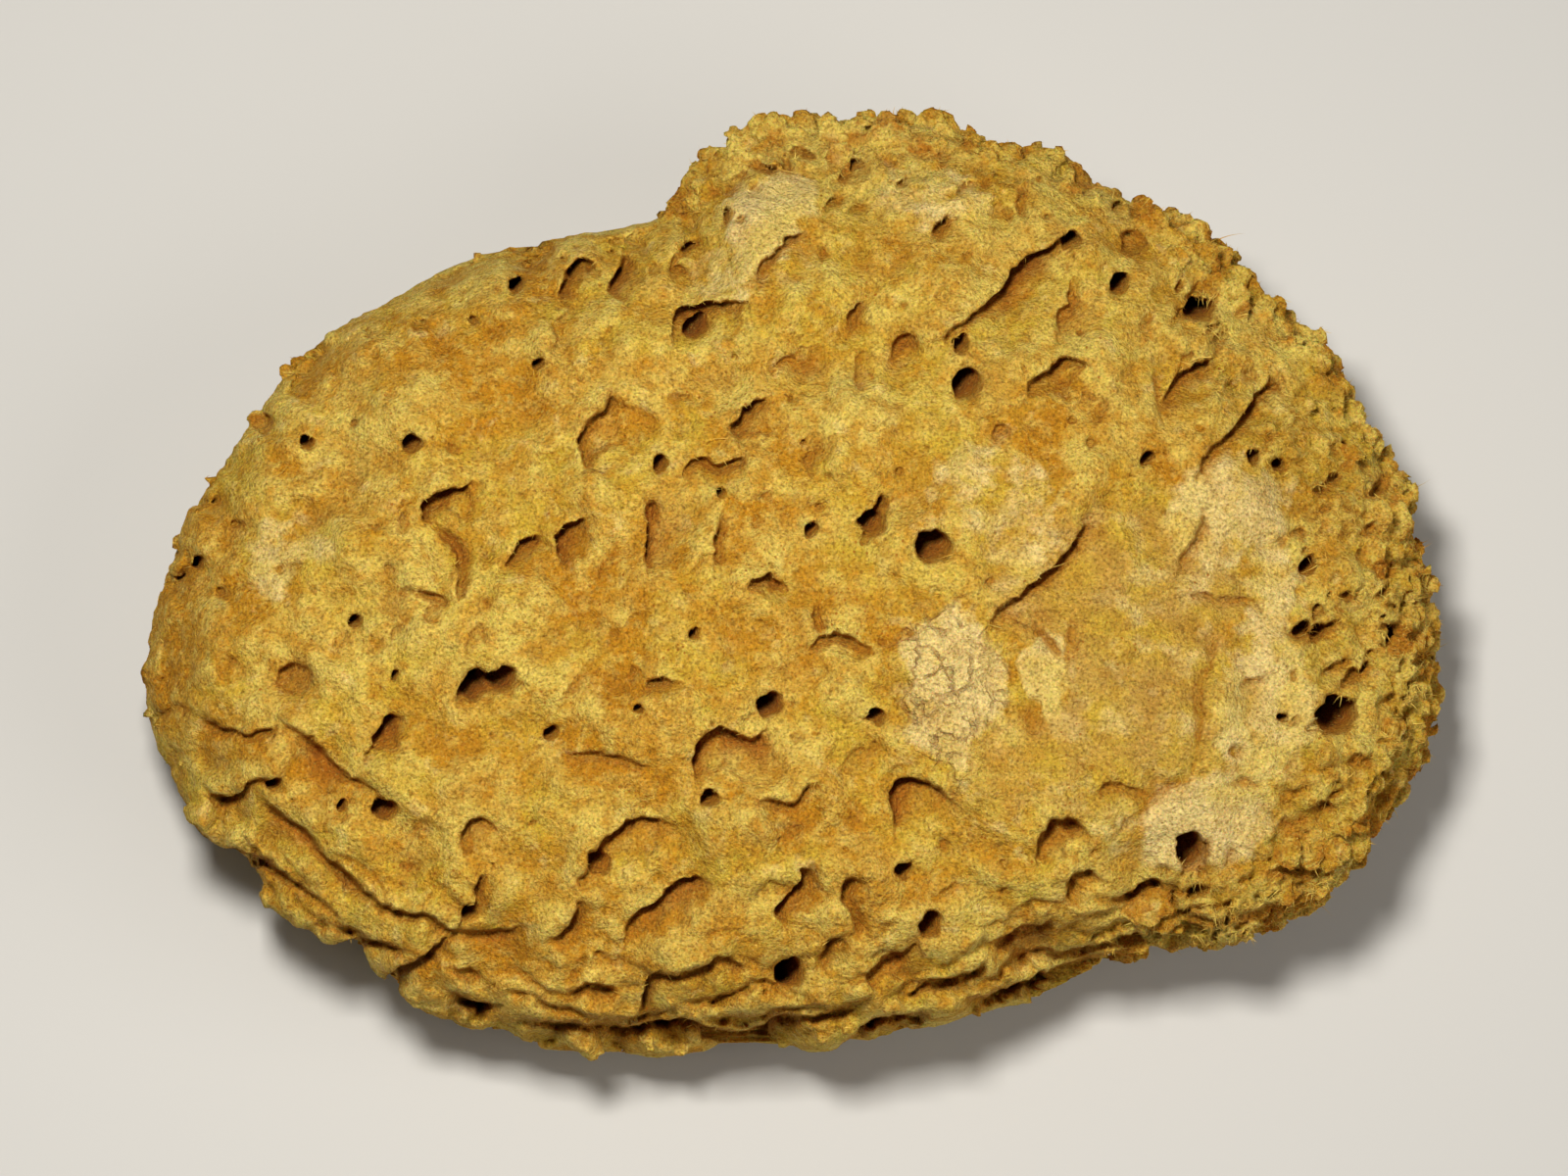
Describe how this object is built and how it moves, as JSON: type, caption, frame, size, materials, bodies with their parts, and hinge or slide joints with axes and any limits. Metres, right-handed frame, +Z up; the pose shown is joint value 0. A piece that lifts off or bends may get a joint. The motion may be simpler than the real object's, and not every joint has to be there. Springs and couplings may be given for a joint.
{
  "type": "sea sponge",
  "caption": "Dried golden bath sponge, oval with a lobe at the back, with ledges, pits and frilled rims, cut flat underneath to rest on",
  "frame": {"origin": "under the middle of the sponge, on the surface it rests on", "axes": "+X along the length toward the frilled end, +Y toward the back lobe, +Z up"},
  "size_m": [0.1982, 0.1456, 0.0613],
  "materials": {
    "sponge": "dry, matt, felt-like"
  },
  "bodies": {
    "root": {"sponge": "sponge"}
  },
  "joints": []
}
